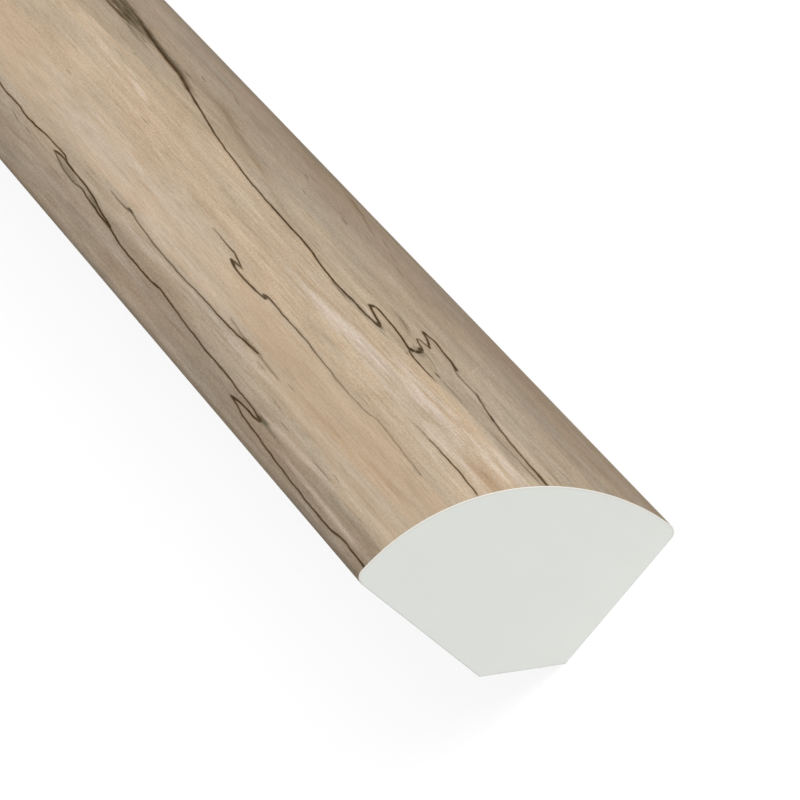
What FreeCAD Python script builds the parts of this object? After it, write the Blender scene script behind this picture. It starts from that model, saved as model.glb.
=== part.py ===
# A vinyl quarter round moulding, sold as straight stock, which covers the gap between
# a floor and a wall or skirting board.
#
# The section is a quarter round with two flat legs at a right angle. One leg lies on the
# floor and the other stands against the wall. A convex face joins the two legs, and each
# end of it turns into its leg through a small rounded nose. The heel, where the legs would
# meet, is cut off at 45 degrees so that it clears what is in the corner.
#
# There are two pieces. The vinyl body is one solid extrusion. A thin decor film is wrapped
# over its convex face and both noses, and stops flush with each flat.
#
# Frame: X runs along the length, the wall face looks to +Y, the floor face lies at Z = 0,
# and the origin is the middle of the footprint of the whole moulding. Millimetres.

import os

import FreeCAD
import Part

# Driving dimensions
length = 2387.6  # stock length, 94 in
floor_leg = 19.05  # how far it stands out from the wall, 3/4 in
wall_leg = 19.05  # how far it reaches up the wall, 3/4 in
face_radius = 19.05  # of the convex face, 3/4 in
nose_radius = 0.8  # where the face turns into each leg
heel_cut = 5.08  # cut off each leg at the heel, 0.2 in
film_thickness = 0.2  # decor film with its wear layer

# Places that follow from them
wall_plane = floor_leg / 2
half_length = length / 2
START = FreeCAD.Vector(-half_length, 0, 0)
RUN = FreeCAD.Vector(length, 0, 0)


def section_point(out, up):
    """A point of the section, from its distances out from the wall and up from the floor."""
    return FreeCAD.Vector(START.x, wall_plane - out, up)


def towards(point, centre, distance):
    """The point at that distance from centre, on the line from centre through point."""
    return centre + (point - centre).normalize() * distance


class Section:
    """The convex face and its two noses, drawn a given depth below the moulding's surface.

    Depth 0 is the outer face of the film, and the film's thickness is the depth at which the
    body starts. The centres are the same at any depth, so the film is equally thick all over.
    """

    floor_nose = section_point(floor_leg - nose_radius, nose_radius)
    wall_nose = section_point(nose_radius, wall_leg - nose_radius)

    # The face is tangent to both noses from outside them, so its centre is as far from
    # each nose's centre as the two radii differ.
    chord = wall_nose - floor_nose
    middle = (floor_nose + wall_nose) / 2
    inward = FreeCAD.Vector(0, chord.z, -chord.y).normalize()
    reach = face_radius - nose_radius
    face_centre = middle + inward * (reach**2 - (chord.Length / 2) ** 2) ** 0.5

    def __init__(self, depth):
        face = face_radius - depth
        nose = nose_radius - depth
        self.floor_foot = self.floor_nose - FreeCAD.Vector(0, 0, nose)
        self.wall_foot = self.wall_nose + FreeCAD.Vector(0, nose, 0)
        self.floor_blend = towards(self.floor_nose, self.face_centre, face)
        self.wall_blend = towards(self.wall_nose, self.face_centre, face)
        crown = towards(self.middle, self.face_centre, face)

        half_way = (self.floor_foot + self.floor_blend) / 2
        floor_bulge = towards(half_way, self.floor_nose, nose)
        half_way = (self.wall_foot + self.wall_blend) / 2
        wall_bulge = towards(half_way, self.wall_nose, nose)
        self.edges = [
            Part.Arc(self.floor_foot, floor_bulge, self.floor_blend).toShape(),
            Part.Arc(self.floor_blend, crown, self.wall_blend).toShape(),
            Part.Arc(self.wall_blend, wall_bulge, self.wall_foot).toShape(),
        ]


def line(start, end):
    return Part.LineSegment(start, end).toShape()


def extrude(edges):
    """The closed outline made of these edges, run along the whole length."""
    return Part.Face(Part.Wire(edges)).extrude(RUN)


def make_body():
    """The solid extrusion: two flat legs, the cut heel and the face under the film."""
    face = Section(film_thickness)
    floor_edge = section_point(heel_cut, 0)
    wall_edge = section_point(0, heel_cut)
    floor_end = section_point(floor_leg - nose_radius, 0)
    wall_end = section_point(0, wall_leg - nose_radius)
    outline = [
        line(floor_edge, floor_end),
        line(floor_end, face.floor_foot),
        *face.edges,
        line(face.wall_foot, wall_end),
        line(wall_end, wall_edge),
        line(wall_edge, floor_edge),
    ]
    return extrude(outline)


def make_film():
    """The decor film, from where it leaves the floor face over the nose, face and nose."""
    outer = Section(0)
    inner = Section(film_thickness)
    outline = [
        *outer.edges,
        line(outer.wall_foot, inner.wall_foot),
        *reversed(inner.edges),
        line(inner.floor_foot, outer.floor_foot),
    ]
    return extrude(outline)


os.makedirs("parts", exist_ok=True)
for node, shape in {"vinyl_body": make_body(), "decor_film": make_film()}.items():
    shape.exportStep(f"parts/{node}.step")
    box = shape.BoundBox
    print(
        f"{node}: valid {shape.isValid()}, {shape.Volume / 1000:.1f} cm3,"
        f" {box.XLength:.2f} x {box.YLength:.2f} x {box.ZLength:.2f} mm"
    )
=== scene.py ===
"""Quarter round moulding with a printed wood-grain film, on a pale floor under soft light.

The section lies in a plane across the length. Its two directions are out, from the wall
towards the room, and up, from the floor. The print is drawn on the flat film in millimetres:
along, from the near end, and across, from the edge of the film at the floor.
"""

import math
from typing import NamedTuple

import bmesh
import bpy
from mathutils import Matrix, Vector


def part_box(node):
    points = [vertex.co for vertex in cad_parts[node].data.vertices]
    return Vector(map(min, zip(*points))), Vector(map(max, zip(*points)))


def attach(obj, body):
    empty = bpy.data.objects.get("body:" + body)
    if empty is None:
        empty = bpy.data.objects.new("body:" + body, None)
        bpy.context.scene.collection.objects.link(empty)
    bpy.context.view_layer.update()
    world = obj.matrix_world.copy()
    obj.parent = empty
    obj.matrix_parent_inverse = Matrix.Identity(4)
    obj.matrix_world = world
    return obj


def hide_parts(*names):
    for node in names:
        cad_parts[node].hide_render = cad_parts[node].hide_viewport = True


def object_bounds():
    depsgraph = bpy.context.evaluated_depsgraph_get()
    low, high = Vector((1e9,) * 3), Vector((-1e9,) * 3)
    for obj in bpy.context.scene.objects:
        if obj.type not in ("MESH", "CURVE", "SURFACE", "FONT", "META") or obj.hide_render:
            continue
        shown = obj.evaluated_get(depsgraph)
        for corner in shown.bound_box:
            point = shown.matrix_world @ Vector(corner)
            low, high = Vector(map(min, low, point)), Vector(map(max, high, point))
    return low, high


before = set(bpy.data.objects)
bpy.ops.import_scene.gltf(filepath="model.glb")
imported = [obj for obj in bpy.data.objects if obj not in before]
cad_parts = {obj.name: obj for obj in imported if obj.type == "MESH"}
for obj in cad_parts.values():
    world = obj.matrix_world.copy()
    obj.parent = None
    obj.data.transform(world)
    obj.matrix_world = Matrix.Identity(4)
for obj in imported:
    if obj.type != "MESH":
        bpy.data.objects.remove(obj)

bl_info = {
    "name": "Quarter Round Moulding",
    "version": (1, 0, 0),
    "blender": (4, 5, 0),
    "location": "3D View > Sidebar > Moulding",
    "description": "Makes a vinyl quarter round with a printed spalted-wood film",
    "category": "Add Mesh",
}

MM = 0.001
CAD_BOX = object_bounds()
BODY_LOW, BODY_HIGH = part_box("vinyl_body")
BODY_RIDE = "root"

NOSE_STEPS = 8
FACE_STEPS = 72
SHARP_ANGLE = math.radians(20)

PRINT_MAP = "print"
BAKE_MAP = "OFBake"
# The bake map has one row for each fifth of the length, because the moulding is so long and thin
BAKE_ROWS = 5
BAKE_MARGIN = 0.01
FILM_CUTS_PER_ROW = 8


# Colours and sizes that a user would change


def srgb(red, green, blue):
    """A colour as a picture shows it, 0 to 255, in the linear values that Blender works with."""

    def linear(level):
        level /= 255
        if level <= 0.04045:
            return level / 12.92
        return ((level + 0.055) / 1.055) ** 2.4

    return (linear(red), linear(green), linear(blue))


def size_property(name, description, default):
    return bpy.props.FloatProperty(
        name=name, description=description, default=default, min=0, unit="LENGTH", precision=5
    )


def colour_property(name, description, default):
    return bpy.props.FloatVectorProperty(
        name=name, description=description, default=default, min=0, max=1, subtype="COLOR"
    )


class MouldingSizes(bpy.types.PropertyGroup):
    """The section and the length of the stock."""

    length: size_property("Length", "Length of the stock", BODY_HIGH.x - BODY_LOW.x)
    leg: size_property("Leg", "How far each leg reaches out and up", 19.05 * MM)
    face_radius: size_property("Face radius", "Radius of the convex face", 19.05 * MM)
    nose_radius: size_property("Nose radius", "Radius where the face turns into a leg", 0.8 * MM)
    heel_cut: size_property("Heel cut", "Cut off each leg at the heel", 5.08 * MM)
    film: size_property("Film", "Thickness of the film with its wear layer", 0.2 * MM)
    broken_edge: size_property("Broken edge", "Width of the edge that the saw breaks", 0.06 * MM)


class MouldingColours(bpy.types.PropertyGroup):
    """The colours of the vinyl and of the print."""

    vinyl: colour_property("Vinyl", "The body, all through", srgb(227, 229, 224))
    film_edge: colour_property("Film edge", "The film where the saw cuts it", srgb(225, 224, 217))
    sapwood: colour_property("Sapwood", "The warm tan middle of the print", srgb(192, 171, 146))
    pale_wood: colour_property("Pale wood", "The palest streaks", srgb(213, 196, 179))
    taupe: colour_property("Taupe", "The greyer wood towards both edges", srgb(178, 161, 139))
    # The shade colour is partly the print's darker taupe and partly painted shade on the flanks,
    # which turn from the light
    shade: colour_property("Shade", "The darkest taupe, at both edges", srgb(158, 142, 123))
    brown_tint: colour_property("Brown tint", "What a brown stain lets through", (0.78, 0.68, 0.58))
    dusk_tint: colour_property("Dusk tint", "What a dusky streak lets through", (0.66, 0.66, 0.64))
    spalt: colour_property("Spalt", "The dark lines of the spalted wood", srgb(60, 46, 24))
    halo: colour_property("Halo", "The brown that soaks out beside the lines", srgb(122, 96, 66))
    spalt_stain: colour_property("Spalt stain", "The grey-green in their folds", srgb(97, 89, 68))


class MouldingStage(bpy.types.PropertyGroup):
    """The light and the floor."""

    sky: bpy.props.FloatProperty(name="Sky", description="Light from all round", default=0.5, min=0)
    sun: bpy.props.FloatProperty(name="Sun", description="Strength of the sun", default=1.9, min=0)
    sun_size: bpy.props.FloatProperty(
        name="Sun size",
        description="How wide the sun looks, which softens its shadows",
        default=math.radians(50),
        subtype="ANGLE",
    )
    floor: colour_property("Floor", "The pale floor as the light sees it", (0.8, 0.8, 0.8))
    floor_width: size_property("Floor width", "Side of the square floor", 100)


# The section of the moulding


def arc(centre, radius, start, end, steps):
    """Points on an arc as (out, up), from one angle to another, with both ends."""
    angles = [start + (end - start) * step / steps for step in range(steps + 1)]
    return [
        (centre[0] + radius * math.cos(angle), centre[1] + radius * math.sin(angle))
        for angle in angles
    ]


class Section:
    """The convex face and its two noses, at any depth below the surface of the film."""

    def __init__(self, sizes):
        self.leg = sizes.leg
        self.heel = sizes.heel_cut
        self.nose = sizes.nose_radius
        self.face = sizes.face_radius
        near, far = self.nose, self.leg - self.nose
        self.floor_nose = (far, near)
        self.wall_nose = (near, far)
        reach = self.face - self.nose
        half_chord = (far - near) / math.sqrt(2)
        to_chord = math.sqrt(reach**2 - half_chord**2)
        middle = (near + far) / 2
        self.centre = (middle - to_chord / math.sqrt(2), middle - to_chord / math.sqrt(2))
        self.blend = math.atan2(near - self.centre[1], far - self.centre[0])

    def skin(self, depth):
        """From the foot at the floor over the nose, the face and the other nose to the wall."""
        nose, face = self.nose - depth, self.face - depth
        start, end = self.blend, math.pi / 2 - self.blend
        floor_side = arc(self.floor_nose, nose, -math.pi / 2, start, NOSE_STEPS)
        convex = arc(self.centre, face, start, end, FACE_STEPS)
        wall_side = arc(self.wall_nose, nose, end, math.pi, NOSE_STEPS)
        return floor_side + convex[1:] + wall_side[1:]

    def across(self):
        """How far each point of the skin is from the floor foot, along the film's surface."""
        turns = [(self.nose, self.blend + math.pi / 2, NOSE_STEPS)]
        turns.append((self.face, math.pi / 2 - 2 * self.blend, FACE_STEPS))
        turns.append((self.nose, math.pi / 2 + self.blend, NOSE_STEPS))
        places = [0.0]
        for radius, turn, steps in turns:
            start = places[-1]
            places += [start + radius * turn * step / steps for step in range(1, steps + 1)]
        return places

    def body(self, film, inset):
        """The body's outline: floor flat, face under the film, wall flat and cut heel."""
        corner = self.heel + inset * (math.sqrt(2) - 1)
        foot = self.leg - self.nose
        floor_flat = [(corner, inset), (foot, inset)]
        wall_flat = [(inset, foot), (inset, corner)]
        return floor_flat + self.skin(film) + wall_flat


def place(along, point):
    """A point of the section in the row frame, at a place along the length."""
    out, up = point
    return Vector((along, BODY_HIGH.y - out, BODY_LOW.z + up))


def stations(sizes, cuts):
    """Places along the length where the section is repeated, with its inset at each."""
    start, end = BODY_LOW.x, BODY_LOW.x + sizes.length
    edge = sizes.broken_edge
    inner = [start + edge + (end - start - 2 * edge) * i / cuts for i in range(cuts + 1)]
    return [(start, edge)] + [(x, 0.0) for x in inner] + [(end, edge)]


# Meshes


class Strip(NamedTuple):
    """A band of the bake map: its low edge and its height, as shares of a row or of the map."""

    low: float
    height: float

    def at(self, share):
        """A place in the band, from 0 at its low edge to 1 at its high one."""
        return self.low + self.height * share


def kept_off_sides(share):
    """A place across the bake map, from 0 to 1, that leaves the margin free at both sides."""
    return BAKE_MARGIN + (1 - 2 * BAKE_MARGIN) * share


def finish_mesh(name, work, materials):
    """Turns the bmesh into an object with sharp edges where two faces meet at an angle."""
    bmesh.ops.recalc_face_normals(work, faces=work.faces)
    mesh = bpy.data.meshes.new(name)
    work.to_mesh(mesh)
    work.free()
    mesh.shade_smooth()
    mesh.set_sharp_from_angle(angle=SHARP_ANGLE)
    for material in materials:
        mesh.materials.append(material)
    thing = bpy.data.objects.new(name, mesh)
    bpy.context.scene.collection.objects.link(thing)
    return thing


class Tube:
    """A section run along the length, with a print map and a bake map on its sides."""

    def __init__(self, sizes, outline_at, cuts, caps_height):
        self.cuts = cuts
        self.row_height = (1 - caps_height) / BAKE_ROWS
        self.work = bmesh.new()
        self.print_layer = self.work.loops.layers.uv.new(PRINT_MAP)
        self.bake_layer = self.work.loops.layers.uv.new(BAKE_MAP)
        self.places = []
        self.rings = []
        for along, inset in stations(sizes, cuts):
            self.places.append(along)
            self.rings.append([self.work.verts.new(place(along, p)) for p in outline_at(inset)])

    def bake_point(self, station, stretch, strip, share):
        """Where a corner lies on the bake map, in the row that its stretch of the length has."""
        per_row = self.cuts // BAKE_ROWS
        row = min(max(stretch - 1, 0) // per_row, BAKE_ROWS - 1)
        first = row * per_row + 1 if row > 0 else 0
        last = (row + 1) * per_row + 1 if row < BAKE_ROWS - 1 else -1
        start, end = self.places[first], self.places[last]
        along = (self.places[station] - start) / (end - start)
        return (kept_off_sides(along), (row + strip.at(share)) * self.row_height)

    def side(self, corners, strip, shares, across, end_material=0):
        """Faces between two neighbouring corners of the outline, all along the length."""
        low, high = corners
        for stretch in range(len(self.rings) - 1):
            here, there = self.rings[stretch], self.rings[stretch + 1]
            face = self.work.faces.new((here[low], there[low], there[high], here[high]))
            ends = ((stretch, 0), (stretch + 1, 0), (stretch + 1, 1), (stretch, 1))
            for loop, (station, which) in zip(face.loops, ends):
                along = self.places[station] - self.places[0]
                loop[self.print_layer].uv = (along / MM, across[which] / MM)
                spot = self.bake_point(station, stretch, strip, shares[which])
                loop[self.bake_layer].uv = spot
            if stretch in (0, len(self.rings) - 2):
                face.material_index = end_material


def film_mesh(sizes, materials):
    """The film: a thin even skin over the face and both noses, closed at its feet and ends."""
    section = Section(sizes)
    across = section.across()
    count = len(across)

    def outline_at(inset):
        return section.skin(inset) + section.skin(sizes.film)[::-1]

    tube = Tube(sizes, outline_at, BAKE_ROWS * FILM_CUTS_PER_ROW, caps_height=0.04)
    width = across[-1]
    outer = Strip(0.02, 0.84)
    inner = Strip(0.89, 0.05)
    floor_foot, wall_foot = Strip(0.95, 0.01), Strip(0.97, 0.01)
    caps = (Strip(0.962, 0.014), Strip(0.98, 0.014))
    for i in range(count - 1):
        places = (across[i], across[i + 1])
        shares = (across[i] / width, across[i + 1] / width)
        tube.side((i, i + 1), outer, shares, places, end_material=1)
        mirrored = (2 * count - 1 - i, 2 * count - 2 - i)
        tube.side(mirrored, inner, shares, places)
    tube.side((count - 1, count), wall_foot, (0, 1), (width, width))
    tube.side((2 * count - 1, 0), floor_foot, (0, 1), (0, 0))
    for ring, cap in zip((tube.rings[0], tube.rings[-1]), caps):
        for i in range(count - 1):
            corners = (i, i + 1, 2 * count - 2 - i, 2 * count - 1 - i)
            face = tube.work.faces.new([ring[c] for c in corners])
            face.material_index = 1
            low, high = across[i] / width, across[i + 1] / width
            spots = ((low, 0), (high, 0), (high, 1), (low, 1))
            for loop, (along, up) in zip(face.loops, spots):
                loop[tube.print_layer].uv = (0, along * width / MM)
                loop[tube.bake_layer].uv = (kept_off_sides(along), cap.at(up))
    return finish_mesh("printed_film", tube.work, materials)


def body_mesh(sizes, materials):
    """The vinyl body: two flats, the cut heel and the face that the film covers."""
    section = Section(sizes)

    def outline_at(inset):
        return section.body(sizes.film, inset)

    caps_height = 0.22
    tube = Tube(sizes, outline_at, BAKE_ROWS, caps_height)
    outline = outline_at(0.0)
    count = len(outline)
    round_it = [0.0]
    for i in range(count):
        round_it.append(round_it[-1] + math.dist(outline[i], outline[(i + 1) % count]))

    # The floor flat, the wall flat and the cut heel have a band each, and the face shares one
    bands = {0: Strip(0.02, 0.34), count - 2: Strip(0.38, 0.34), count - 1: Strip(0.74, 0.18)}
    covered = Strip(0.94, 0.04)
    start, width = round_it[1], round_it[count - 2] - round_it[1]
    for i in range(count):
        places = (round_it[i], round_it[i + 1])
        shares = (0, 1) if i in bands else [(p - start) / width for p in places]
        tube.side((i, (i + 1) % count), bands.get(i, covered), shares, places)

    # The two ends lie side by side above the rows
    bottom, span = 0.79, caps_height - 0.02
    for ring, left in zip((tube.rings[0], tube.rings[-1]), (0.02, 0.32)):
        face = tube.work.faces.new(ring)
        for loop in face.loops:
            out = BODY_HIGH.y - loop.vert.co.y
            up = loop.vert.co.z - BODY_LOW.z
            loop[tube.print_layer].uv = (out / MM, up / MM)
            spot = (left + span * out / sizes.leg, bottom + span * up / sizes.leg)
            loop[tube.bake_layer].uv = spot
    return finish_mesh("vinyl_extrusion", tube.work, materials)


# Materials


NODES_IN_COLUMN = 12
NODE_SPACING = (220, 190)
# How far apart on the noise two seeds are taken, so that no two streaks look alike
SEED_STEP = (-137.0, -71.0)


class Finish:
    """One material and its nodes. Each method adds a node and gives its output."""

    def __init__(self, name, roughness, specular):
        self.material = bpy.data.materials.new(name)
        self.material.use_nodes = True
        self.tree = self.material.node_tree
        self.tree.nodes.clear()
        self.shader = self.add("ShaderNodeBsdfPrincipled")
        self.shader.inputs["Roughness"].default_value = roughness
        self.shader.inputs["Specular IOR Level"].default_value = specular
        output = self.add("ShaderNodeOutputMaterial")
        self.tree.links.new(self.shader.outputs["BSDF"], output.inputs["Surface"])
        self.spot = self.add("ShaderNodeUVMap", uv_map=PRINT_MAP).outputs["UV"]
        split = self.add("ShaderNodeSeparateXYZ", {"Vector": self.spot})
        self.along, self.across = split.outputs["X"], split.outputs["Y"]

    def add(self, kind, inputs=None, **settings):
        """A new node, set out in columns so that the tree can be read."""
        column, row = divmod(len(self.tree.nodes), NODES_IN_COLUMN)
        node = self.tree.nodes.new(kind)
        node.location = (column * NODE_SPACING[0], -row * NODE_SPACING[1])
        for name, value in settings.items():
            setattr(node, name, value)
        for socket, value in (inputs or {}).items():
            self.feed(node.inputs[socket], value)
        return node

    def feed(self, socket, value):
        """Links an output to the socket, or sets a number, a place or a colour on it."""
        if isinstance(value, bpy.types.NodeSocket):
            self.tree.links.new(value, socket)
        elif socket.type == "RGBA":
            socket.default_value = (*value, 1)
        else:
            socket.default_value = value

    def math(self, operation, *values):
        node = self.add("ShaderNodeMath", dict(enumerate(values)), operation=operation)
        return node.outputs[0]

    def ease(self, value, start, end, low=0.0, high=1.0):
        """Goes smoothly from low to high while the value goes from start to end.

        A smooth step stays between low and high by itself, so it needs no clamp.
        """
        inputs = {"Value": value, 1: start, 2: end, 3: low, 4: high}
        node = self.add("ShaderNodeMapRange", inputs, interpolation_type="SMOOTHSTEP", clamp=False)
        return node.outputs["Result"]

    def local(self, centre, size, slant=0.0):
        """The place on the print as seen from a centre, in units of size, turned by a slope."""
        inputs = {
            "Vector": self.spot,
            "Location": (centre[0], centre[1], 0),
            "Rotation": (0, 0, math.atan(slant)),
            "Scale": (size[0], size[1], 1),
        }
        return self.add("ShaderNodeMapping", inputs, vector_type="TEXTURE").outputs["Vector"]

    def noise(self, size, seed, detail=1.0, slant=0.0, rough=0.5, lift=0.0):
        """Cloudy streaks of that length and width in millimetres, from 0 to 1."""
        centre = (SEED_STEP[0] * seed, SEED_STEP[1] * seed - lift)
        spot = self.local(centre, size, slant)
        inputs = {"Vector": spot, "Scale": 1.0, "Detail": detail, "Roughness": rough}
        return self.add("ShaderNodeTexNoise", inputs, noise_dimensions="2D").outputs["Fac"]

    def blend(self, share, first, second):
        """A number between two."""
        return self.add("ShaderNodeMix", {0: share, 2: first, 3: second}).outputs[0]

    def mix(self, share, first, second, blend_type="MIX"):
        """A colour between two, or one that a share of the second has coloured."""
        node = self.add("ShaderNodeMix", data_type="RGBA", blend_type=blend_type)
        self.feed(node.inputs[0], share)
        self.feed(node.inputs[6], first)
        self.feed(node.inputs[7], second)
        return node.outputs[2]

    def scale_colour(self, colour, factor):
        node = self.add("ShaderNodeVectorMath", {0: colour}, operation="SCALE")
        self.feed(node.inputs["Scale"], factor)
        return node.outputs["Vector"]

    def curve(self, points, top):
        """A smooth line along the print through these points, whose values go from 0 to top."""
        first, last = points[0][0], points[-1][0]
        inputs = {"Value": self.along, 1: first, 2: last}
        share = self.add("ShaderNodeMapRange", inputs, clamp=False)
        node = self.add("ShaderNodeFloatCurve", {"Value": share.outputs["Result"]})
        mapping = node.mapping
        mapping.use_clip = False
        mapping.extend = "HORIZONTAL"
        curve = mapping.curves[0]
        while len(curve.points) < len(points):
            curve.points.new(0.5, 0.5)
        for point, (along, value) in zip(curve.points, points):
            point.location = ((along - first) / (last - first), value / top)
            point.handle_type = "AUTO_CLAMPED"
        mapping.update()
        return self.math("MULTIPLY", node.outputs["Value"], top)


# The drawing of the print

# The values that a curve across the print can have, in millimetres
PRINT_WIDTH = 32.0


class Stroke(NamedTuple):
    """A mark drawn along the print: half its width, its points and its fading ends.

    Its strength is a number, or a list of places along with the strength at each.
    """

    half_width: float
    strength: object
    points: list
    fade: float = 0.35


class Patch(NamedTuple):
    """A soft spot on the print: its centre, half its length and width, strength and slope."""

    centre: tuple
    size: tuple
    strength: float
    slope: float = 0.0


# The line that starts at the near end beyond the middle of the face, and folds back on
# itself before it runs on
FOLDED_LINE = [
    Stroke(0.085, [(0, 0.9), (8, 0.72), (24, 0.66)],
           [(0, 12.6), (6, 12.5), (10, 12.38), (15, 12.15), (20, 11.75), (24.4, 11.3)]),
    Stroke(0.06, 0.6, [(23.4, 11.3), (25, 11.4), (28.5, 11.4), (30, 11.27), (31.6, 11.0)]),
    Stroke(0.07, 1.0, [(30.2, 11.05), (31.5, 10.96), (33, 10.8), (36, 10.68), (38.4, 10.56),
                       (40, 10.65), (41.5, 10.78)]),
    Stroke(0.085, 0.9, [(36.2, 11.64), (37, 11.5), (38.4, 11.2), (39.6, 10.99), (41.4, 10.8)]),
    Stroke(0.07, 0.75, [(36.3, 11.6), (37.6, 11.7), (38.7, 11.82), (39.2, 11.93)]),
    Stroke(0.06, 0.8, [(35.4, 12.5), (36.5, 12.32), (38, 12.15), (39.2, 11.96)]),
    Stroke(0.074, 1.0, [(35.3, 13.35), (36.3, 13.45), (38, 13.33), (40, 13.17), (42, 13.08),
                        (44, 13.0), (46, 12.93), (47.4, 12.93), (48.7, 13.12)]),
    Stroke(0.078, 1.0, [(42.3, 14.22), (43.4, 13.98), (45.5, 13.76), (47.2, 13.55), (48.8, 13.35)]),
    Stroke(0.076,
           [(42, 0.97), (55, 0.94), (74, 1.0), (84, 0.79), (96, 0.83), (106, 0.94), (118, 1.0)],
           [(42.5, 14.26), (44, 14.3), (47, 14.41), (50, 14.37), (52, 14.47), (55, 14.5),
            (58, 14.4), (62, 14.2), (66, 13.95), (70, 13.91), (77, 13.87), (85, 13.72),
            (91, 13.45), (98, 13.05), (105, 12.41), (110, 11.92), (115, 11.42), (120, 10.9)]),
    Stroke(0.064, [(27, 0.4), (30, 0.77), (36, 0.92)],
           [(27, 13.8), (29, 13.82), (32, 13.81), (35, 13.7), (36.4, 13.48)], 1.0),
    Stroke(0.17, [(114, 0.8), (120, 1.0), (134, 1.0), (139, 0.75), (143, 0.6), (150, 0.5)],
           [(113, 11.62), (116, 11.28), (120, 10.82), (124, 10.7), (128, 10.46), (132, 10.2),
            (136, 9.85), (140, 9.5), (144, 9.2), (150, 8.8)], 2.5),
    Stroke(0.34, [(112, 0.1), (119, 0.5), (133, 0.6), (139, 0.4), (150, 0.3)],
           [(111, 11.75), (116, 11.15), (120, 10.68), (124, 10.56), (128, 10.34), (132, 10.1),
            (136, 9.75), (140, 9.45), (144, 9.2), (150, 8.85)], 3.0),
    Stroke(0.16, [(131, 0.1), (136, 0.35), (141, 0.7), (150, 0.6)],
           [(131, 10.5), (135, 10.75), (138, 10.98), (141, 11.12), (146, 11.1), (152, 11.0)],
           2.0),
    Stroke(0.13, 0.45, [(136, 10.15), (139, 10.45), (142, 10.6), (146, 10.35), (152, 10.3)],
           2.0),
]
# The thin line at the near end, in the middle of the face
SHORT_LINE = [
    Stroke(0.06, [(0, 0.78), (9, 0.8), (15, 0.62)],
           [(0, 18.4), (3, 18.28), (6, 18.19), (12, 18.19), (15, 18.2)], 0.8),
    Stroke(0.07, 0.35, [(14, 18.2), (17, 18.22), (19, 18.25)], 2.0),
]
# The thin broken line beside it, with two small kinks
BROKEN_LINE = [
    Stroke(0.06, 0.4, [(8, 20.9), (12, 20.75), (16, 20.6), (21, 20.5), (25, 20.7)]),
    Stroke(0.064, [(23, 0.45), (32, 0.5), (44, 0.68), (54, 0.82)],
           [(23, 20.62), (25, 20.72), (31, 20.78), (36, 20.65), (40, 20.56), (45, 20.42),
            (50, 20.46), (54, 20.38), (56, 20.43), (56.9, 20.55)]),
    Stroke(0.07, 0.88, [(55.2, 20.7), (57, 20.76), (60, 20.87), (62.4, 20.92), (64.6, 20.85),
                        (65.8, 20.76), (67.2, 20.58)]),
    Stroke(0.06, [(63.6, 0.55), (64.6, 0.8), (67.2, 0.9)],
           [(63.6, 20.37), (65, 20.45), (66, 20.51), (67.2, 20.58)]),
    Stroke(0.065, [(64, 0.8), (70, 0.7), (75, 0.4)],
           [(64.1, 20.38), (65.4, 20.24), (66.8, 20.07), (68.4, 19.94), (71, 19.92),
            (75.5, 19.88)], 0.6),
]
# The thin line where the warm middle of the print ends
EDGE_LINE = [
    Stroke(0.07, 0.4, [(38.5, 24.5), (42, 24.44), (46, 24.34)], 1.0),
    Stroke(0.057, [(46, 1.0), (53, 0.95), (60, 0.76), (75, 0.64), (89, 0.66)],
           [(45.5, 24.32), (48.5, 24.43), (50.2, 24.52), (52, 24.63), (57, 24.7), (64, 24.78),
            (70, 24.86), (80, 24.78), (85, 24.6), (88.6, 24.38)]),
    Stroke(0.06, [(88, 0.7), (94.5, 0.35)],
           [(87.5, 24.5), (89.5, 24.63), (92, 24.62), (94.5, 24.56)], 1.0),
    Stroke(0.07, 0.35, [(45, 24.22), (50, 24.3), (55.5, 24.08)]),
]
# The line towards the wall, with its long fold and its loop
WALL_LINE = [
    Stroke(0.061, [(0, 0.98), (15, 0.83), (38, 0.82)],
           [(0, 29.2), (6, 29.1), (8, 29.16), (10, 29.34), (14, 29.34), (20, 29.24), (26, 29.1),
            (33, 28.87), (37, 28.75), (40, 28.52), (42.6, 28.34)]),
    Stroke(0.062, 0.95, [(34.2, 27.9), (35.6, 28.05), (38, 28.1), (40.2, 28.19), (42.4, 28.33)]),
    Stroke(0.059,
           [(34, 0.9), (60, 0.86), (75, 0.94), (92, 1.0), (98, 0.85), (101, 0.6), (110, 0.65)],
           [(34.2, 27.84), (36.5, 27.74), (38, 27.66), (42, 27.6), (45, 27.53), (47.5, 27.47),
            (52, 27.48), (56, 27.41), (65, 27.15), (69, 27.0), (71, 27.07), (73, 27.18),
            (80, 27.17), (84, 27.04), (87.2, 26.8), (91, 26.76), (93.4, 26.65), (96.5, 26.55),
            (98.6, 26.43), (100.9, 26.61), (103, 26.58), (105.4, 26.44), (108, 26.2),
            (110, 25.96)]),
    Stroke(0.062,
           [(87, 0.95), (97, 1.0), (104, 1.0), (112, 0.8), (118, 0.95), (124, 0.8), (150, 0.85)],
           [(87, 26.75), (90, 26.57), (92.4, 26.4), (94.8, 26.18), (97, 26.02), (99, 25.95),
            (104, 25.92), (105.6, 25.84), (107.6, 25.58), (110, 25.58), (113, 25.58),
            (116, 25.72), (118.5, 25.83), (121, 25.86), (124, 25.74), (128, 25.77), (134, 25.64),
            (142, 25.7), (150, 25.62)]),
    Stroke(0.065, 0.9, [(104.6, 25.9), (106, 25.84), (107.3, 25.83), (108.5, 25.87), (110, 26.03)]),
]
SPALT_LINES = FOLDED_LINE + SHORT_LINE + BROKEN_LINE + EDGE_LINE + WALL_LINE

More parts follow.
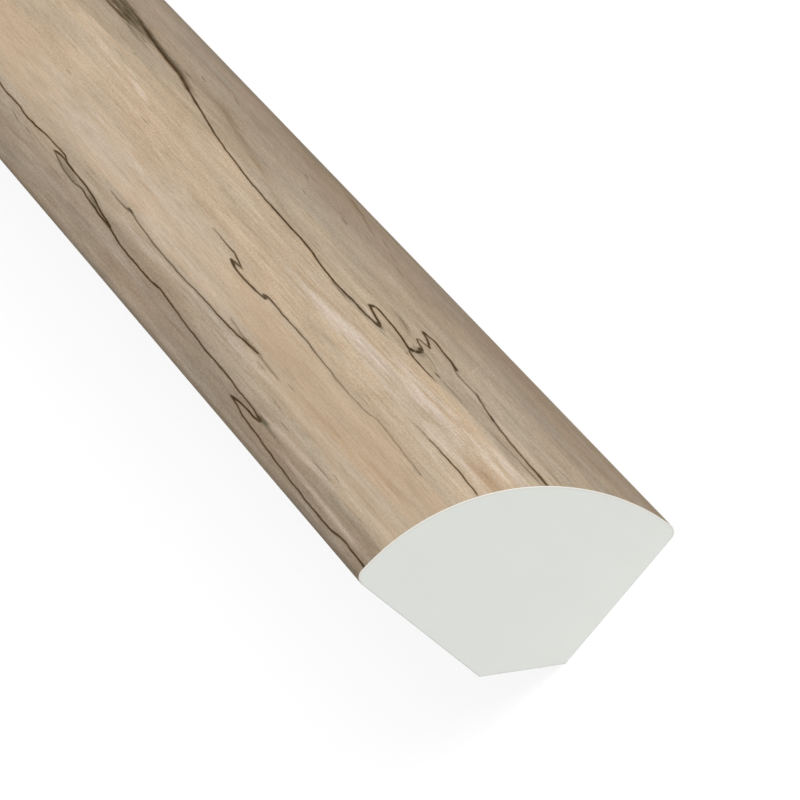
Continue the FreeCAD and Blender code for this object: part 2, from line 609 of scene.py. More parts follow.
# Dark spots where a line turns or thickens
SPALT_BLOTS = [
    Patch((2.6, 12.52), (1.8, 0.14), 0.8),
    Patch((17.4, 11.98), (1.7, 0.16), 0.95, -0.1),
    Patch((24.2, 11.33), (0.8, 0.14), 0.6),
    Patch((35.95, 12.6), (0.95, 0.24), 1.0, -0.25),
    Patch((35.35, 12.95), (0.5, 0.5), 1.0),
    Patch((36.0, 13.3), (0.95, 0.24), 1.0, 0.15),
    Patch((48.3, 13.25), (0.75, 0.27), 0.95, 0.1),
    Patch((43.1, 14.12), (1.0, 0.18), 0.9, -0.1),
    Patch((31.4, 10.97), (1.4, 0.17), 0.95, -0.05),
    Patch((40.8, 10.78), (0.9, 0.12), 0.9),
    Patch((51.8, 14.47), (2.2, 0.16), 0.85),
    Patch((56.0, 20.6), (0.9, 0.2), 0.85, 0.05),
    Patch((66.0, 20.62), (1.3, 0.16), 0.85, -0.1),
    Patch((29.0, 13.18), (1.0, 0.13), 0.75),
    Patch((49.2, 24.45), (1.8, 0.14), 0.8, 0.05),
    Patch((87.7, 24.42), (1.2, 0.14), 0.95),
    Patch((35.2, 27.84), (1.2, 0.14), 0.92, -0.03),
    Patch((41.9, 28.34), (1.1, 0.12), 0.9),
    Patch((8.8, 29.26), (1.6, 0.12), 0.6, 0.06),
    Patch((70.9, 27.08), (1.6, 0.13), 0.85, 0.05),
    Patch((88.6, 26.76), (2.6, 0.14), 0.85, -0.02),
    Patch((104.0, 25.9), (2.6, 0.12), 0.95, -0.02),
    Patch((109.5, 26.0), (0.8, 0.1), 0.8, 0.08),
    Patch((115.7, 25.72), (1.6, 0.11), 0.65, 0.05),
    Patch((111.5, 11.78), (3.6, 0.18), 0.85, -0.1),
    Patch((138.5, 9.6), (2.5, 0.3), 0.8, -0.08),
    Patch((140.0, 10.6), (2.6, 0.35), 0.65),
    Patch((144.0, 9.7), (4.0, 0.22), 0.55, -0.06),
    Patch((146.0, 10.8), (3.0, 0.25), 0.5),
    Patch((140.0, 11.2), (1.6, 0.16), 0.7),
]
# Short thin marks in the grain
DASHES = [
    Patch((2.5, 11.33), (3.0, 0.09), 0.4, -0.01),
    Patch((3.5, 10.25), (3.2, 0.12), 0.3, 0.03),
    Patch((17.5, 10.08), (6.5, 0.07), 0.3, -0.03),
    Patch((9.0, 13.13), (9.0, 0.12), 0.28, 0.015),
    Patch((24.5, 13.2), (4.0, 0.1), 0.35, -0.01),
    Patch((32.5, 12.62), (2.4, 0.08), 0.45, -0.09),
    Patch((35.1, 14.0), (0.8, 0.1), 0.5),
    Patch((41.0, 14.42), (2.6, 0.11), 0.4, 0.04),
    Patch((43.2, 11.87), (2.8, 0.13), 0.3, -0.09),
    Patch((27.5, 20.2), (3.0, 0.05), 0.2),
    Patch((36.0, 24.13), (1.4, 0.07), 0.4),
    Patch((43.2, 24.82), (1.8, 0.06), 0.35),
    Patch((16.2, 26.25), (1.2, 0.08), 0.32, -0.03),
    Patch((19.5, 26.76), (4.0, 0.09), 0.4),
    Patch((30.5, 26.65), (1.8, 0.07), 0.45),
    Patch((34.8, 25.95), (2.6, 0.06), 0.45, -0.04),
    Patch((106.8, 17.72), (1.6, 0.1), 0.4),
    Patch((104.0, 20.15), (4.5, 0.06), 0.25),
    Patch((125.3, 20.1), (1.2, 0.07), 0.45),
    Patch((126.6, 13.35), (0.7, 0.16), 0.25),
    Patch((122.5, 26.6), (2.4, 0.09), 0.45, -0.07),
    Patch((117.8, 26.6), (1.5, 0.09), 0.4, -0.02),
    Patch((105.0, 27.2), (3.0, 0.09), 0.3),
    Patch((72.5, 27.65), (2.0, 0.07), 0.3),
    Patch((60.5, 7.0), (2.6, 0.22), 0.2, -0.12),
    Patch((66.5, 5.85), (2.4, 0.22), 0.2, -0.12),
    Patch((71.5, 4.9), (2.4, 0.22), 0.25, -0.14),
    Patch((75.2, 7.82), (1.6, 0.17), 0.4, -0.1),
    Patch((89.6, 7.15), (1.3, 0.12), 0.55, -0.1),
    Patch((83.2, 9.3), (1.2, 0.11), 0.35, -0.1),
    Patch((114.0, 6.85), (2.0, 0.14), 0.3, -0.12),
    Patch((120.0, 8.5), (1.4, 0.16), 0.35, -0.1),
]
# Grey-green stain inside the folds and loops
SPALT_STAINS = [
    Patch((124.0, 10.55), (9.0, 0.6), 0.5, -0.06),
    Patch((142.0, 10.15), (12.0, 1.2), 1.0, -0.06),
    Patch((103.6, 26.28), (5.0, 0.36), 0.5, -0.05),
    Patch((92.5, 26.55), (4.0, 0.22), 0.65, -0.06),
    Patch((34.5, 27.79), (2.4, 0.28), 0.9, -0.02),
    Patch((35.3, 12.9), (1.6, 0.8), 0.5),
    Patch((45.8, 14.57), (4.6, 0.2), 0.5, 0.02),
    Patch((52.0, 14.6), (6.0, 0.3), 0.4),
    Patch((65.5, 20.5), (2.2, 0.35), 0.35, -0.1),
    Patch((48.0, 24.35), (4.2, 0.2), 0.4, 0.02),
    Patch((31.5, 27.85), (4.5, 0.16), 0.5),
    Patch((43.0, 14.2), (1.6, 0.3), 0.7),
]
# Where dark fibres fray out beside a line
FRAYED = [
    Patch((121.0, 10.5), (10.0, 0.7), 0.75, -0.08),
    Patch((134.0, 10.1), (7.0, 0.8), 0.9, -0.06),
    Patch((145.0, 10.1), (12.0, 1.5), 0.85, -0.03),
    Patch((93.0, 26.5), (7.0, 0.3), 0.6, -0.06),
    Patch((3.5, 13.1), (5.0, 0.45), 0.65, 0.05),
    Patch((52.0, 14.75), (5.0, 0.3), 0.5),
]
# Wide streaks that are darker and greyer than the wood about them
DUSK_STREAKS = [
    Patch((12.0, 13.15), (19.0, 0.5), 0.4),
    Patch((62.0, 13.55), (17.0, 0.4), 0.3, -0.035),
    Patch((7.0, 27.65), (13.0, 0.4), 0.55),
    Patch((20.0, 26.75), (9.0, 0.28), 0.2),
    Patch((30.0, 25.6), (10.0, 0.25), 0.25, -0.01),
    Patch((82.0, 26.55), (30.0, 0.5), 0.34, -0.02),
    Patch((118.0, 24.6), (14.0, 0.45), 0.3),
    Patch((110.0, 9.8), (14.0, 1.0), 0.7, -0.03),
    Patch((75.0, 10.0), (18.0, 0.8), 0.3, -0.03),
    Patch((106.0, 13.6), (12.0, 0.7), 0.45),
    Patch((103.0, 25.2), (12.0, 0.45), 0.35),
    Patch((22.0, 6.3), (20.0, 0.8), 0.18, -0.05),
    Patch((45.0, 8.1), (16.0, 0.7), 0.25, -0.06),
    Patch((133.0, 12.4), (17.0, 1.0), 0.3),
    Patch((104.0, 2.4), (7.0, 0.7), 0.35, -0.12),
    Patch((56.0, 6.9), (9.0, 0.5), 0.25, -0.1),
    Patch((43.0, 11.95), (5.5, 0.34), 0.6, -0.1),
    Patch((82.0, 4.0), (8.0, 0.3), 0.6, -0.17),
    Patch((98.0, 10.8), (14.0, 0.9), 0.4, -0.06),
    Patch((106.0, 15.8), (18.0, 2.4), 0.22),
    Patch((138.0, 17.6), (10.0, 1.5), 0.2),
    Patch((147.5, 11.4), (5.0, 0.5), 0.4),
]
# Warm brown stains
BROWN_STAINS = [
    Patch((3.5, 16.65), (8.5, 0.75), 0.8, -0.01),
    Patch((12.0, 16.1), (7.0, 0.25), 0.35, -0.07),
    Patch((9.0, 23.25), (12.0, 0.35), 0.5, 0.04),
    Patch((27.0, 23.95), (13.0, 0.35), 0.45, 0.01),
    Patch((30.0, 22.6), (34.0, 1.7), 0.16, 0.02),
    Patch((45.0, 23.5), (12.0, 0.4), 0.3),
    Patch((78.0, 12.95), (7.0, 0.28), 0.4, -0.09),
    Patch((89.5, 11.7), (7.5, 0.35), 0.7, -0.09),
    Patch((102.0, 10.35), (10.0, 0.4), 0.65, -0.1),
    Patch((85.0, 3.6), (6.5, 0.6), 0.95, -0.13),
    Patch((79.0, 4.5), (8.0, 0.4), 0.8, -0.17),
    Patch((93.0, 2.3), (6.0, 0.5), 0.6, -0.13),
    Patch((35.0, 3.5), (45.0, 2.4), 0.3, -0.03),
    Patch((31.5, 13.05), (5.0, 0.3), 0.4, -0.06),
    Patch((23.5, 13.3), (6.0, 0.22), 0.4),
    Patch((29.5, 27.87), (5.0, 0.2), 0.5),
    Patch((118.0, 27.65), (5.0, 0.18), 0.6, 0.04),
    Patch((90.0, 22.0), (9.0, 0.25), 0.35),
    Patch((72.0, 23.3), (7.0, 0.25), 0.25),
    Patch((58.0, 20.0), (8.0, 0.3), 0.25),
    Patch((80.0, 16.7), (12.0, 0.3), 0.25),
    Patch((76.0, 19.1), (14.0, 0.4), 0.3),
    Patch((96.0, 3.6), (34.0, 2.6), 0.4, -0.04),
    Patch((70.0, 28.3), (90.0, 1.3), 0.14),
]
# Pale streaks
PALE_STREAKS = [
    Patch((5.0, 14.35), (9.0, 0.45), 0.7),
    Patch((46.5, 13.98), (2.6, 0.16), 0.6, -0.05),
    Patch((9.0, 15.3), (9.0, 0.4), 0.6, -0.01),
    Patch((27.0, 15.15), (12.0, 0.5), 0.75, 0.03),
    Patch((20.0, 16.15), (14.0, 0.75), 0.95, -0.01),
    Patch((43.0, 17.0), (16.0, 0.95), 0.85, 0.02),
    Patch((29.0, 17.75), (9.0, 0.3), 0.5),
    Patch((50.0, 15.9), (14.0, 0.4), 0.35, 0.02),
    Patch((10.0, 19.0), (13.0, 0.35), 0.3),
    Patch((25.0, 19.5), (8.0, 0.25), 0.3),
    Patch((92.0, 22.4), (42.0, 2.2), 0.34),
    Patch((108.0, 20.9), (14.0, 0.35), 0.4),
    Patch((116.0, 15.85), (5.5, 0.42), 0.75, -0.1),
    Patch((128.5, 15.6), (7.0, 0.3), 0.4, -0.02),
    Patch((137.0, 14.8), (9.0, 0.4), 0.4, -0.01),
    Patch((126.0, 21.05), (7.0, 0.4), 0.5),
    Patch((62.0, 25.05), (11.0, 0.1), 0.55, 0.01),
    Patch((25.0, 25.0), (24.0, 0.4), 0.3, 0.01),
    Patch((26.0, 27.15), (13.0, 0.34), 0.5, 0.02),
    Patch((12.0, 28.45), (17.0, 0.3), 0.5, -0.01),
    Patch((8.0, 26.2), (10.0, 0.4), 0.3),
    Patch((32.2, 8.7), (2.8, 0.08), 0.3, -0.6),
    Patch((14.0, 11.9), (14.0, 0.4), 0.3, -0.01),
    Patch((13.0, 17.5), (16.0, 0.5), 0.45),
    Patch((72.0, 23.7), (22.0, 0.9), 0.5),
    Patch((45.0, 25.15), (20.0, 0.5), 0.4),
    Patch((76.0, 25.5), (16.0, 0.4), 0.35),
    Patch((78.0, 20.6), (14.0, 0.35), 0.35),
    Patch((92.0, 27.8), (32.0, 0.45), 0.22),
    # A faint pale strip along the wall nose, easing back the painted shade where the nose turns up
    # to the light
    Patch((60.0, 29.7), (90.0, 0.4), 0.12),
]
# Where the warm middle of the print begins and ends, across the film
MIDDLE_START = [(0, 13.7), (15, 13.6), (30, 13.9), (42, 14.4), (55, 14.5), (66, 14.0), (90, 13.5),
                (102, 12.8), (112, 13.2), (130, 14.1), (160, 14.4)]
MIDDLE_END = [(0, 27.3), (15, 26.9), (25, 26.2), (35, 25.3), (42, 24.8), (50, 24.55), (68, 24.8),
              (85, 24.7), (98, 24.5), (115, 24.8), (160, 24.8)]
# Where the drawing ends along the print, and where lines that go on in its manner take over
DRAWN_END = 150.0
FOLLOWED_END = 175.0


# A patch is a soft ball, laid out this much wider than its size. It fades in between two
# heights of the ball, for a soft rim and for a crisp one
PATCH_REACH = 1.5
SOFT_FADE = (0.15, 0.95)
CRISP_FADE = (0.22, 0.77)
# Where a line fades at its sides and its halo ends, in half widths of the line
LINE_FADE = (1.6, 0.6)
HALO_REACH = 4.5
# How much of a stroke's fade lies beyond its last point
FADE_BEYOND = 0.6


def shape_of_patches(finish, patches, ragged, fade=SOFT_FADE):
    """How strongly any of these patches marks a spot, from 0 to 1."""
    total = 0.0
    for patch in patches:
        size = (PATCH_REACH * patch.size[0], PATCH_REACH * patch.size[1])
        spot = finish.local(patch.centre, size, patch.slope)
        ball = finish.add("ShaderNodeTexGradient", {"Vector": spot}, gradient_type="SPHERICAL")
        reach = finish.math("ADD", ball.outputs["Fac"], ragged)
        mark = finish.ease(reach, *fade, 0.0, patch.strength)
        total = finish.math("MAXIMUM", total, mark)
    return total


def shape_of_strokes(finish, strokes, wobble):
    """How dark the drawn lines are at a spot, and how strong the halo beside them is."""
    across = finish.math("ADD", finish.across, wobble)
    lines, halos = 0.0, 0.0
    for stroke in strokes:
        first, last = stroke.points[0][0], stroke.points[-1][0]
        away = finish.math("SUBTRACT", across, finish.curve(stroke.points, PRINT_WIDTH))
        away = finish.math("ABSOLUTE", away)
        from_middle = finish.math("SUBTRACT", finish.along, (first + last) / 2)
        from_middle = finish.math("ABSOLUTE", from_middle)
        half = (last - first) / 2
        gone, full = half + FADE_BEYOND * stroke.fade, half - stroke.fade
        strength = finish.ease(from_middle, gone, full)
        profile = stroke.strength
        if isinstance(profile, list):
            profile = finish.curve(profile, 1.0)
        strength = finish.math("MULTIPLY", strength, profile)
        mark = finish.ease(away, *(share * stroke.half_width for share in LINE_FADE))
        lines = finish.math("MAXIMUM", lines, finish.math("MULTIPLY", mark, strength))
        halo = finish.ease(away, HALO_REACH * stroke.half_width, 0.0)
        halos = finish.math("MAXIMUM", halos, finish.math("MULTIPLY", halo, strength))
    return lines, halos


class Wanderer(NamedTuple):
    """A line that runs along the print: its middle, how far it strays, its size and presence."""

    middle: float
    reach: float
    size: tuple
    half_width: float
    gaps: tuple
    seed: int


# The lines that carry the print on beyond what is drawn: one where the warm middle
# begins, a thin broken one, and one where the middle ends
MIDDLE_START_WANDERER = Wanderer(13.0, 9.0, (75.0, 5.0), 0.085, (0.3, 0.42), 11)
MIDDLE_END_WANDERER = Wanderer(26.0, 6.0, (90.0, 4.0), 0.08, (0.3, 0.42), 12)
BROKEN_WANDERER = Wanderer(19.5, 7.0, (60.0, 4.5), 0.06, (0.48, 0.6), 13)


def wandering(finish, line):
    """How far a spot is from a wandering line, with its sign, and how dark the line is there."""

    def height(lift):
        """How far above the line a spot is that lies higher than this one by the lift."""
        sway = finish.noise(line.size, line.seed, detail=2.5, lift=lift)
        sway = finish.math("MULTIPLY_ADD", sway, line.reach, -line.reach / 2)
        return finish.math("SUBTRACT", finish.math("ADD", finish.across, lift - line.middle), sway)

    # Divided by how steeply it rises, the height becomes a distance from the line
    step, least = 0.1, 0.03
    here = height(0.0)
    rise = finish.math("SUBTRACT", height(step), here)
    rise = finish.math("MULTIPLY", rise, 1 / step)
    steep = finish.math("SQRT", finish.math("MULTIPLY_ADD", rise, rise, least))
    away = finish.math("DIVIDE", finish.math("ABSOLUTE", here), steep)
    swell = finish.noise((9.0, 2.0), line.seed + 20)
    away = finish.math("DIVIDE", away, finish.ease(swell, 0.3, 0.75, 0.6, 2.0))
    mark = finish.ease(away, 1.7 * line.half_width, 0.3 * line.half_width)
    there = finish.noise((70.0, 8.0), line.seed + 40)
    mark = finish.math("MULTIPLY", mark, finish.ease(there, *line.gaps, 0.0, 0.95))
    return here, mark


class Grain:
    """The streaks and fibres that the parts of the print share."""

    def __init__(self, finish):
        self.broad = finish.noise((55.0, 2.2), seed=1, detail=2.0)
        self.bands = finish.noise((24.0, 1.0), seed=2, detail=2.0)
        self.streaks = finish.noise((9.0, 0.42), seed=16, detail=2.0)
        self.straight = finish.noise((5.0, 0.2), seed=3, detail=1.5, rough=0.55)
        slanted = finish.noise((4.0, 0.22), seed=4, detail=1.5, rough=0.55, slant=-0.12)
        to_floor = finish.ease(finish.across, 13.0, 8.5)
        self.fibres = finish.blend(to_floor, self.straight, slanted)
        self.ragged = finish.ease(self.streaks, 0.25, 0.75, -0.3, 0.3)


def middle_of_print(finish, grain, beyond):
    """How far a spot is into the warm middle and past it, and how dark a wandering line is."""
    start_away, start_mark = wandering(finish, MIDDLE_START_WANDERER)
    end_away, end_mark = wandering(finish, MIDDLE_END_WANDERER)
    broken_mark = wandering(finish, BROKEN_WANDERER)[1]
    running = finish.math("MAXIMUM", start_mark, end_mark)
    running = finish.math("MAXIMUM", running, broken_mark)
    start_line = finish.math("SUBTRACT", finish.across, finish.curve(MIDDLE_START, PRINT_WIDTH))
    end_line = finish.math("SUBTRACT", finish.across, finish.curve(MIDDLE_END, PRINT_WIDTH))
    from_start = finish.blend(beyond, start_line, start_away)
    from_end = finish.blend(beyond, end_line, end_away)
    soft = finish.ease(grain.bands, 0.2, 0.8, -0.8, 0.8)
    inside = finish.ease(finish.math("ADD", from_start, soft), -0.6, 0.7)
    past = finish.ease(finish.math("ADD", from_end, soft), -0.7, 0.7)
    return inside, past, running


def bare_wood(finish, colours, inside, past):
    """The wood before stains and lines: a warm middle, and taupe that darkens to both edges, partly
    the print's greyer wood and partly painted shade where the flanks turn from the light.
    """
    # Painted shade in part: the taupe darkens towards the floor foot, where the flank turns from
    # the light
    drift = finish.ease(finish.along, 0.0, 120.0, 0.0, 2.5)
    floor_tone_and_painted_shade = finish.ease(finish.math("SUBTRACT", finish.across, drift), 12.0, 3.5)
    # Painted shade in part: the taupe darkens towards the wall nose, where the flank turns from the
    # light
    drift = finish.ease(finish.along, 0.0, 80.0, 0.0, 1.2)
    wall_tone_and_painted_shade = finish.ease(finish.math("ADD", finish.across, drift), 26.2, 29.2)
    floor_side = finish.mix(floor_tone_and_painted_shade, colours.taupe, colours.shade)
    wall_side = finish.mix(wall_tone_and_painted_shade, colours.taupe, colours.shade)
    wood = finish.mix(inside, floor_side, colours.sapwood)
    return finish.mix(past, wood, wall_side)


def stained(finish, colours, grain, wood):
    """The wood with its pale streaks and its brown and dusky stains."""
    calmer = finish.math("MULTIPLY", grain.ragged, 0.6)
    pale = shape_of_patches(finish, PALE_STREAKS, calmer)
    wood = finish.mix(pale, wood, colours.pale_wood)
    for stains, tint in ((BROWN_STAINS, colours.brown_tint), (DUSK_STREAKS, colours.dusk_tint)):
        share = shape_of_patches(finish, stains, grain.ragged)
        wood = finish.mix(share, wood, tint, "MULTIPLY")
    return wood


def dark_marks(finish, grain, lines):
    """How dark the drawn lines are together with the blots, the dashes and the frayed fibres."""
    uneven = finish.ease(grain.streaks, 0.25, 0.75, -0.1, 0.1)
    for patches in (SPALT_BLOTS, DASHES):
        marks = shape_of_patches(finish, patches, uneven, CRISP_FADE)
        lines = finish.math("MAXIMUM", lines, marks)
    frayed = shape_of_patches(finish, FRAYED, grain.ragged)
    frayed = finish.math("MULTIPLY", frayed, finish.ease(grain.straight, 0.46, 0.64, 0.0, 0.85))
    return finish.math("MAXIMUM", lines, frayed)


def spalted(finish, colours, grain, wood, drawn, running):
    """The wood with its dark lines, the halos beside them and the stain inside their folds."""
    stain = shape_of_patches(finish, SPALT_STAINS, grain.ragged)
    wobble = finish.ease(finish.noise((2.6, 0.8), seed=6), 0.2, 0.8, -0.03, 0.03)
    lines, halos = shape_of_strokes(finish, SPALT_LINES, wobble)
    fringe = finish.ease(halos, 0.35, 0.85, 0.0, 0.6)
    halos = finish.math("MULTIPLY", halos, finish.ease(grain.bands, 0.35, 0.65, 0.1, 0.4))
    halos = finish.math("MAXIMUM", halos, fringe)
    wood = finish.mix(finish.math("MULTIPLY", stain, drawn), wood, colours.spalt_stain)
    wood = finish.mix(finish.math("MULTIPLY", halos, drawn), wood, colours.halo)
    dark = finish.math("MULTIPLY", dark_marks(finish, grain, lines), drawn)
    dark = finish.math("MAXIMUM", dark, running)
    ink = finish.ease(finish.noise((2.5, 0.5), seed=7, detail=2.0), 0.3, 0.6, 0.87, 1.03)
    dark = finish.math("MINIMUM", finish.math("MULTIPLY", dark, ink), 1.0)
    return finish.mix(dark, wood, colours.spalt)


def grain_level(finish, grain, past):
    """How light or dark the grain makes a spot, about 1: calmer in the last part of the middle."""
    hairs = finish.noise((14.0, 0.2), seed=10)
    flecks = finish.noise((3.2, 0.22), seed=15)
    speckle = finish.noise((0.5, 0.17), seed=9)
    level = finish.math("MULTIPLY", finish.ease(hairs, 0.62, 0.8, 1.0, 0.84),
                        finish.ease(flecks, 0.6, 0.8, 1.0, 0.88))
    strengths = ((grain.broad, 0.26), (grain.bands, 0.36), (grain.streaks, 0.34),
                 (grain.fibres, 0.25), (speckle, 0.38))
    for streaks, strength in strengths:
        part = finish.math("MULTIPLY_ADD", streaks, strength, 1 - strength / 2)
        level = finish.math("MULTIPLY", level, part)
    calm = finish.ease(finish.across, 19.0, 22.0, 0.0, 0.4)
    calm = finish.math("MULTIPLY", calm, finish.math("SUBTRACT", 1.0, past))
    return finish.blend(calm, level, 1.0)


def film_finish(colours):
    """The print: spalted wood under a dull satin wear layer."""
    finish = Finish("wood_grain_film", roughness=0.85, specular=0.04)
    grain = Grain(finish)
    drawn = finish.ease(finish.along, FOLLOWED_END, DRAWN_END)
    beyond = finish.math("SUBTRACT", 1.0, drawn)
    inside, past, running = middle_of_print(finish, grain, beyond)
    running = finish.math("MULTIPLY", running, beyond)
    wood = bare_wood(finish, colours, inside, past)
    wood = stained(finish, colours, grain, wood)
    wood = spalted(finish, colours, grain, wood, drawn, running)

    # The grain, and painted shade along the foot of the film by the floor
    level = grain_level(finish, grain, past)
    # Painted shade: the film darkens towards its foot at the floor, more so further along
    foot = finish.ease(finish.across, 4.5, 0.8)
    foot = finish.math("MULTIPLY", foot, finish.ease(finish.along, 10.0, 75.0, 0.08, 0.22))
    shaded = finish.math("MULTIPLY", level, finish.math("SUBTRACT", 1.0, foot))
    wood = finish.scale_colour(wood, shaded)

    # Darker streaks are warmer
    tint = finish.noise((30.0, 1.6), seed=5)
    cool = finish.math("MULTIPLY_ADD", level, 1.2, finish.math("SUBTRACT", tint, 1.2))
    hue = finish.mix(finish.ease(cool, 0.25, 0.75), (1.028, 1.0, 0.966), (0.974, 1.0, 1.03))
    wood = finish.mix(1.0, wood, hue, "MULTIPLY")
    finish.feed(finish.shader.inputs["Base Color"], wood)

    # The wear layer is a little duller in the open grain, and pressed in a touch there
    rough = finish.ease(grain.streaks, 0.3, 0.7, 0.92, 0.78)
    finish.feed(finish.shader.inputs["Roughness"], rough)
    inputs = {"Height": grain.fibres, "Strength": 0.3, "Distance": 0.03 * MM}
    pressed = finish.add("ShaderNodeBump", inputs)
    finish.feed(finish.shader.inputs["Normal"], pressed.outputs["Normal"])
    return finish.material


def plain_finish(name, colour, roughness):
    """Cut vinyl: one colour with a faint cloud."""
    finish = Finish(name, roughness=roughness, specular=0.1)
    cloud = finish.noise((3.0, 3.0), seed=8, detail=3.0)
    level = finish.ease(cloud, 0.2, 0.8, 0.995, 1.005)
    mottled = finish.scale_colour(tuple(colour), level)
    finish.feed(finish.shader.inputs["Base Color"], mottled)
    return finish.material


# Stage


# The photograph's viewpoint. The lens and the sensor are in millimetres, the clips in metres
CAMERA_PLACE = Vector((-1833.17, -45.101, 315.213)) * MM
CAMERA_AIM = Vector((-1156.057, -1.374, 9.0)) * MM
CAMERA_ROLL = math.radians(-51.3803)
CAMERA_LENS = 401.518
SENSOR = 36.0
CLIP_START = 0.05
CLIP_END = 500
SUN_FROM = Vector((-0.5, -0.55, 0.67))
# What the camera sees of the floor: a white glow, and this much of the light and shadow on it
FLOOR_GLOW = 0.84
FLOOR_SHOWN = (0.22, 0.22, 0.22)


def make_camera():
    """The photograph's viewpoint: close above the near end, turned over to one side."""
    data = bpy.data.cameras.new("camera")
    data.lens = CAMERA_LENS
    data.sensor_width = SENSOR
    data.clip_start = CLIP_START
    data.clip_end = CLIP_END
    camera = bpy.data.objects.new("camera", data)
    forward = (CAMERA_AIM - CAMERA_PLACE).normalized()
    level = forward.cross(Vector((0, 0, 1))).normalized()
    upright = level.cross(forward)
    right = math.cos(CAMERA_ROLL) * level + math.sin(CAMERA_ROLL) * upright
    up = right.cross(forward)
    turn = Matrix((right, up, -forward)).transposed()
    camera.matrix_world = Matrix.Translation(CAMERA_PLACE) @ turn.to_4x4()
    bpy.context.scene.collection.objects.link(camera)
    bpy.context.scene.camera = camera


def seen_white(tree):
    """1 for a ray that shows a background: from the camera, or off gloss or through glass."""
    path = tree.nodes.new("ShaderNodeLightPath")
    total = path.outputs["Is Camera Ray"]
    for name in ("Is Glossy Ray", "Is Transmission Ray"):
        node = tree.nodes.new("ShaderNodeMath")
        node.operation = "MAXIMUM"
        tree.links.new(total, node.inputs[0])
        tree.links.new(path.outputs[name], node.inputs[1])
        total = node.outputs[0]
    return total


def make_world(stage):
    """An even pale sky, which shows as plain white."""
    world = bpy.data.worlds.new("studio")
    bpy.context.scene.world = world
    world.use_nodes = True
    tree = world.node_tree
    background = tree.nodes["Background"]
    strength = tree.nodes.new("ShaderNodeMapRange")
    tree.links.new(seen_white(tree), strength.inputs["Value"])
    strength.inputs["To Min"].default_value = stage.sky
    strength.inputs["To Max"].default_value = 1.0
    background.inputs["Color"].default_value = (1, 1, 1, 1)
    tree.links.new(strength.outputs["Result"], background.inputs["Strength"])


def make_sun(stage):
    data = bpy.data.lights.new("soft_sun", "SUN")
    data.energy = stage.sun
    data.angle = stage.sun_size
    sun = bpy.data.objects.new("soft_sun", data)
    sun.rotation_mode = "QUATERNION"
    sun.rotation_quaternion = SUN_FROM.to_track_quat("Z", "Y")
    bpy.context.scene.collection.objects.link(sun)


def floor_finish(stage):
    """Pale to the light, and white to the camera apart from a faint shadow."""
    material = bpy.data.materials.new("studio_floor")
    material.use_nodes = True
    tree = material.node_tree
    tree.nodes.clear()
    matt = tree.nodes.new("ShaderNodeBsdfDiffuse")
    matt.inputs["Color"].default_value = (*stage.floor, 1)
    shown = tree.nodes.new("ShaderNodeBsdfDiffuse")
    shown.inputs["Color"].default_value = (*FLOOR_SHOWN, 1)
    glow = tree.nodes.new("ShaderNodeEmission")
    glow.inputs["Strength"].default_value = FLOOR_GLOW
    both = tree.nodes.new("ShaderNodeAddShader")
    tree.links.new(shown.outputs[0], both.inputs[0])
    tree.links.new(glow.outputs[0], both.inputs[1])
    choose = tree.nodes.new("ShaderNodeMixShader")
    tree.links.new(seen_white(tree), choose.inputs[0])
    tree.links.new(matt.outputs[0], choose.inputs[1])
    tree.links.new(both.outputs[0], choose.inputs[2])
    output = tree.nodes.new("ShaderNodeOutputMaterial")
    tree.links.new(choose.outputs[0], output.inputs["Surface"])
    return material


def make_floor(stage):
    half = stage.floor_width / 2
    level = CAD_BOX[0].z
    corners = [(-half, -half), (half, -half), (half, half), (-half, half)]
    mesh = bpy.data.meshes.new("floor")
    mesh.from_pydata([(x, y, level) for x, y in corners], [], [(0, 1, 2, 3)])
    mesh.materials.append(floor_finish(stage))
    floor = bpy.data.objects.new("floor", mesh)
    bpy.context.scene.collection.objects.link(floor)


# Operators and panel


class MOULDING_OT_vinyl_body(bpy.types.Operator):
    """Make the vinyl body, the plain extrusion under the film"""

    bl_idname = "moulding.vinyl_body"
    bl_label = "Vinyl Body"

    def execute(self, context):
        colours = context.scene.moulding_colours
        vinyl = plain_finish("grey_vinyl", colours.vinyl, roughness=0.6)
        body = body_mesh(context.scene.moulding_sizes, [vinyl])
        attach(body, BODY_RIDE)
        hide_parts("vinyl_body")
        return {"FINISHED"}


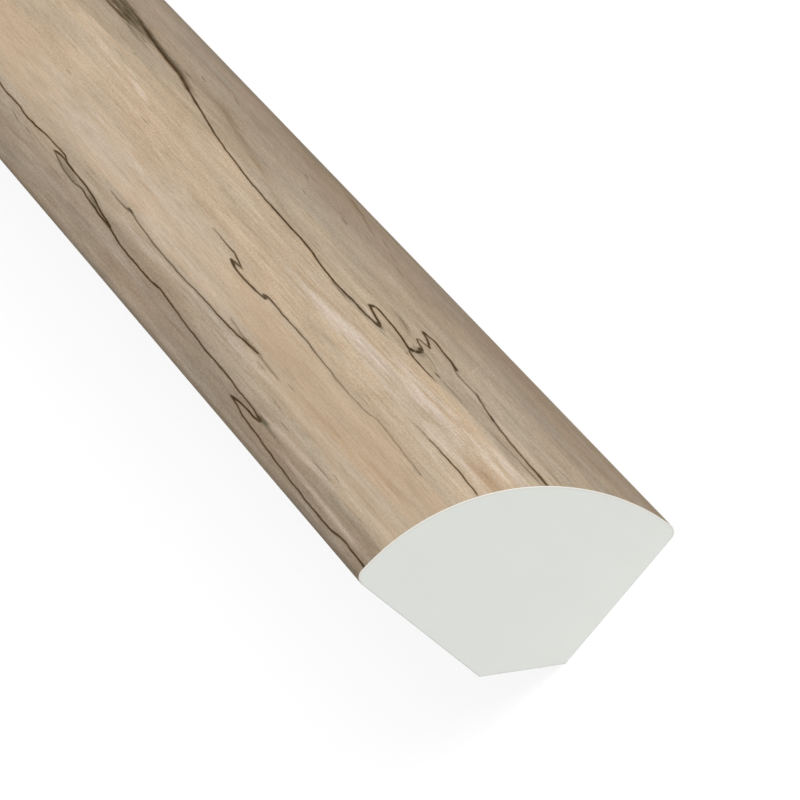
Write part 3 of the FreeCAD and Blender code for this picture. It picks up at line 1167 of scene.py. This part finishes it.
class MOULDING_OT_decor_film(bpy.types.Operator):
    """Make the printed film that wraps the convex face and both noses"""

    bl_idname = "moulding.decor_film"
    bl_label = "Decor Film"

    def execute(self, context):
        colours = context.scene.moulding_colours
        edge = plain_finish("film_edge", colours.film_edge, roughness=0.6)
        film = film_mesh(context.scene.moulding_sizes, [film_finish(colours), edge])
        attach(film, BODY_RIDE)
        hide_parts("decor_film")
        return {"FINISHED"}


class MOULDING_OT_stage(bpy.types.Operator):
    """Make the camera, the light and the pale floor"""

    bl_idname = "moulding.stage"
    bl_label = "Stage"

    def execute(self, context):
        stage = context.scene.moulding_stage
        make_camera()
        make_world(stage)
        make_sun(stage)
        make_floor(stage)
        context.scene.view_settings.view_transform = "Standard"
        return {"FINISHED"}


class MOULDING_PT_panel(bpy.types.Panel):
    """Lists the sizes, the colours and the pieces"""

    bl_idname = "MOULDING_PT_panel"
    bl_label = "Quarter Round Moulding"
    bl_space_type = "VIEW_3D"
    bl_region_type = "UI"
    bl_category = "Moulding"

    def draw(self, context):
        layout = self.layout
        for group in ("moulding_sizes", "moulding_colours", "moulding_stage"):
            box = layout.box()
            settings = getattr(context.scene, group)
            for name in settings.bl_rna.properties.keys():
                if name not in ("rna_type", "name"):
                    box.prop(settings, name)
        for operator in OPERATORS:
            layout.operator(operator.bl_idname)


OPERATORS = (MOULDING_OT_stage, MOULDING_OT_vinyl_body, MOULDING_OT_decor_film)
CLASSES = (MouldingSizes, MouldingColours, MouldingStage, *OPERATORS, MOULDING_PT_panel)


def register():
    for made in CLASSES:
        bpy.utils.register_class(made)
    scene = bpy.types.Scene
    scene.moulding_sizes = bpy.props.PointerProperty(type=MouldingSizes)
    scene.moulding_colours = bpy.props.PointerProperty(type=MouldingColours)
    scene.moulding_stage = bpy.props.PointerProperty(type=MouldingStage)


def unregister():
    for name in ("moulding_stage", "moulding_colours", "moulding_sizes"):
        delattr(bpy.types.Scene, name)
    for made in reversed(CLASSES):
        bpy.utils.unregister_class(made)


def main():
    register()
    bpy.ops.moulding.stage()
    bpy.ops.moulding.vinyl_body()
    bpy.ops.moulding.decor_film()


if __name__ == "__main__":
    main()
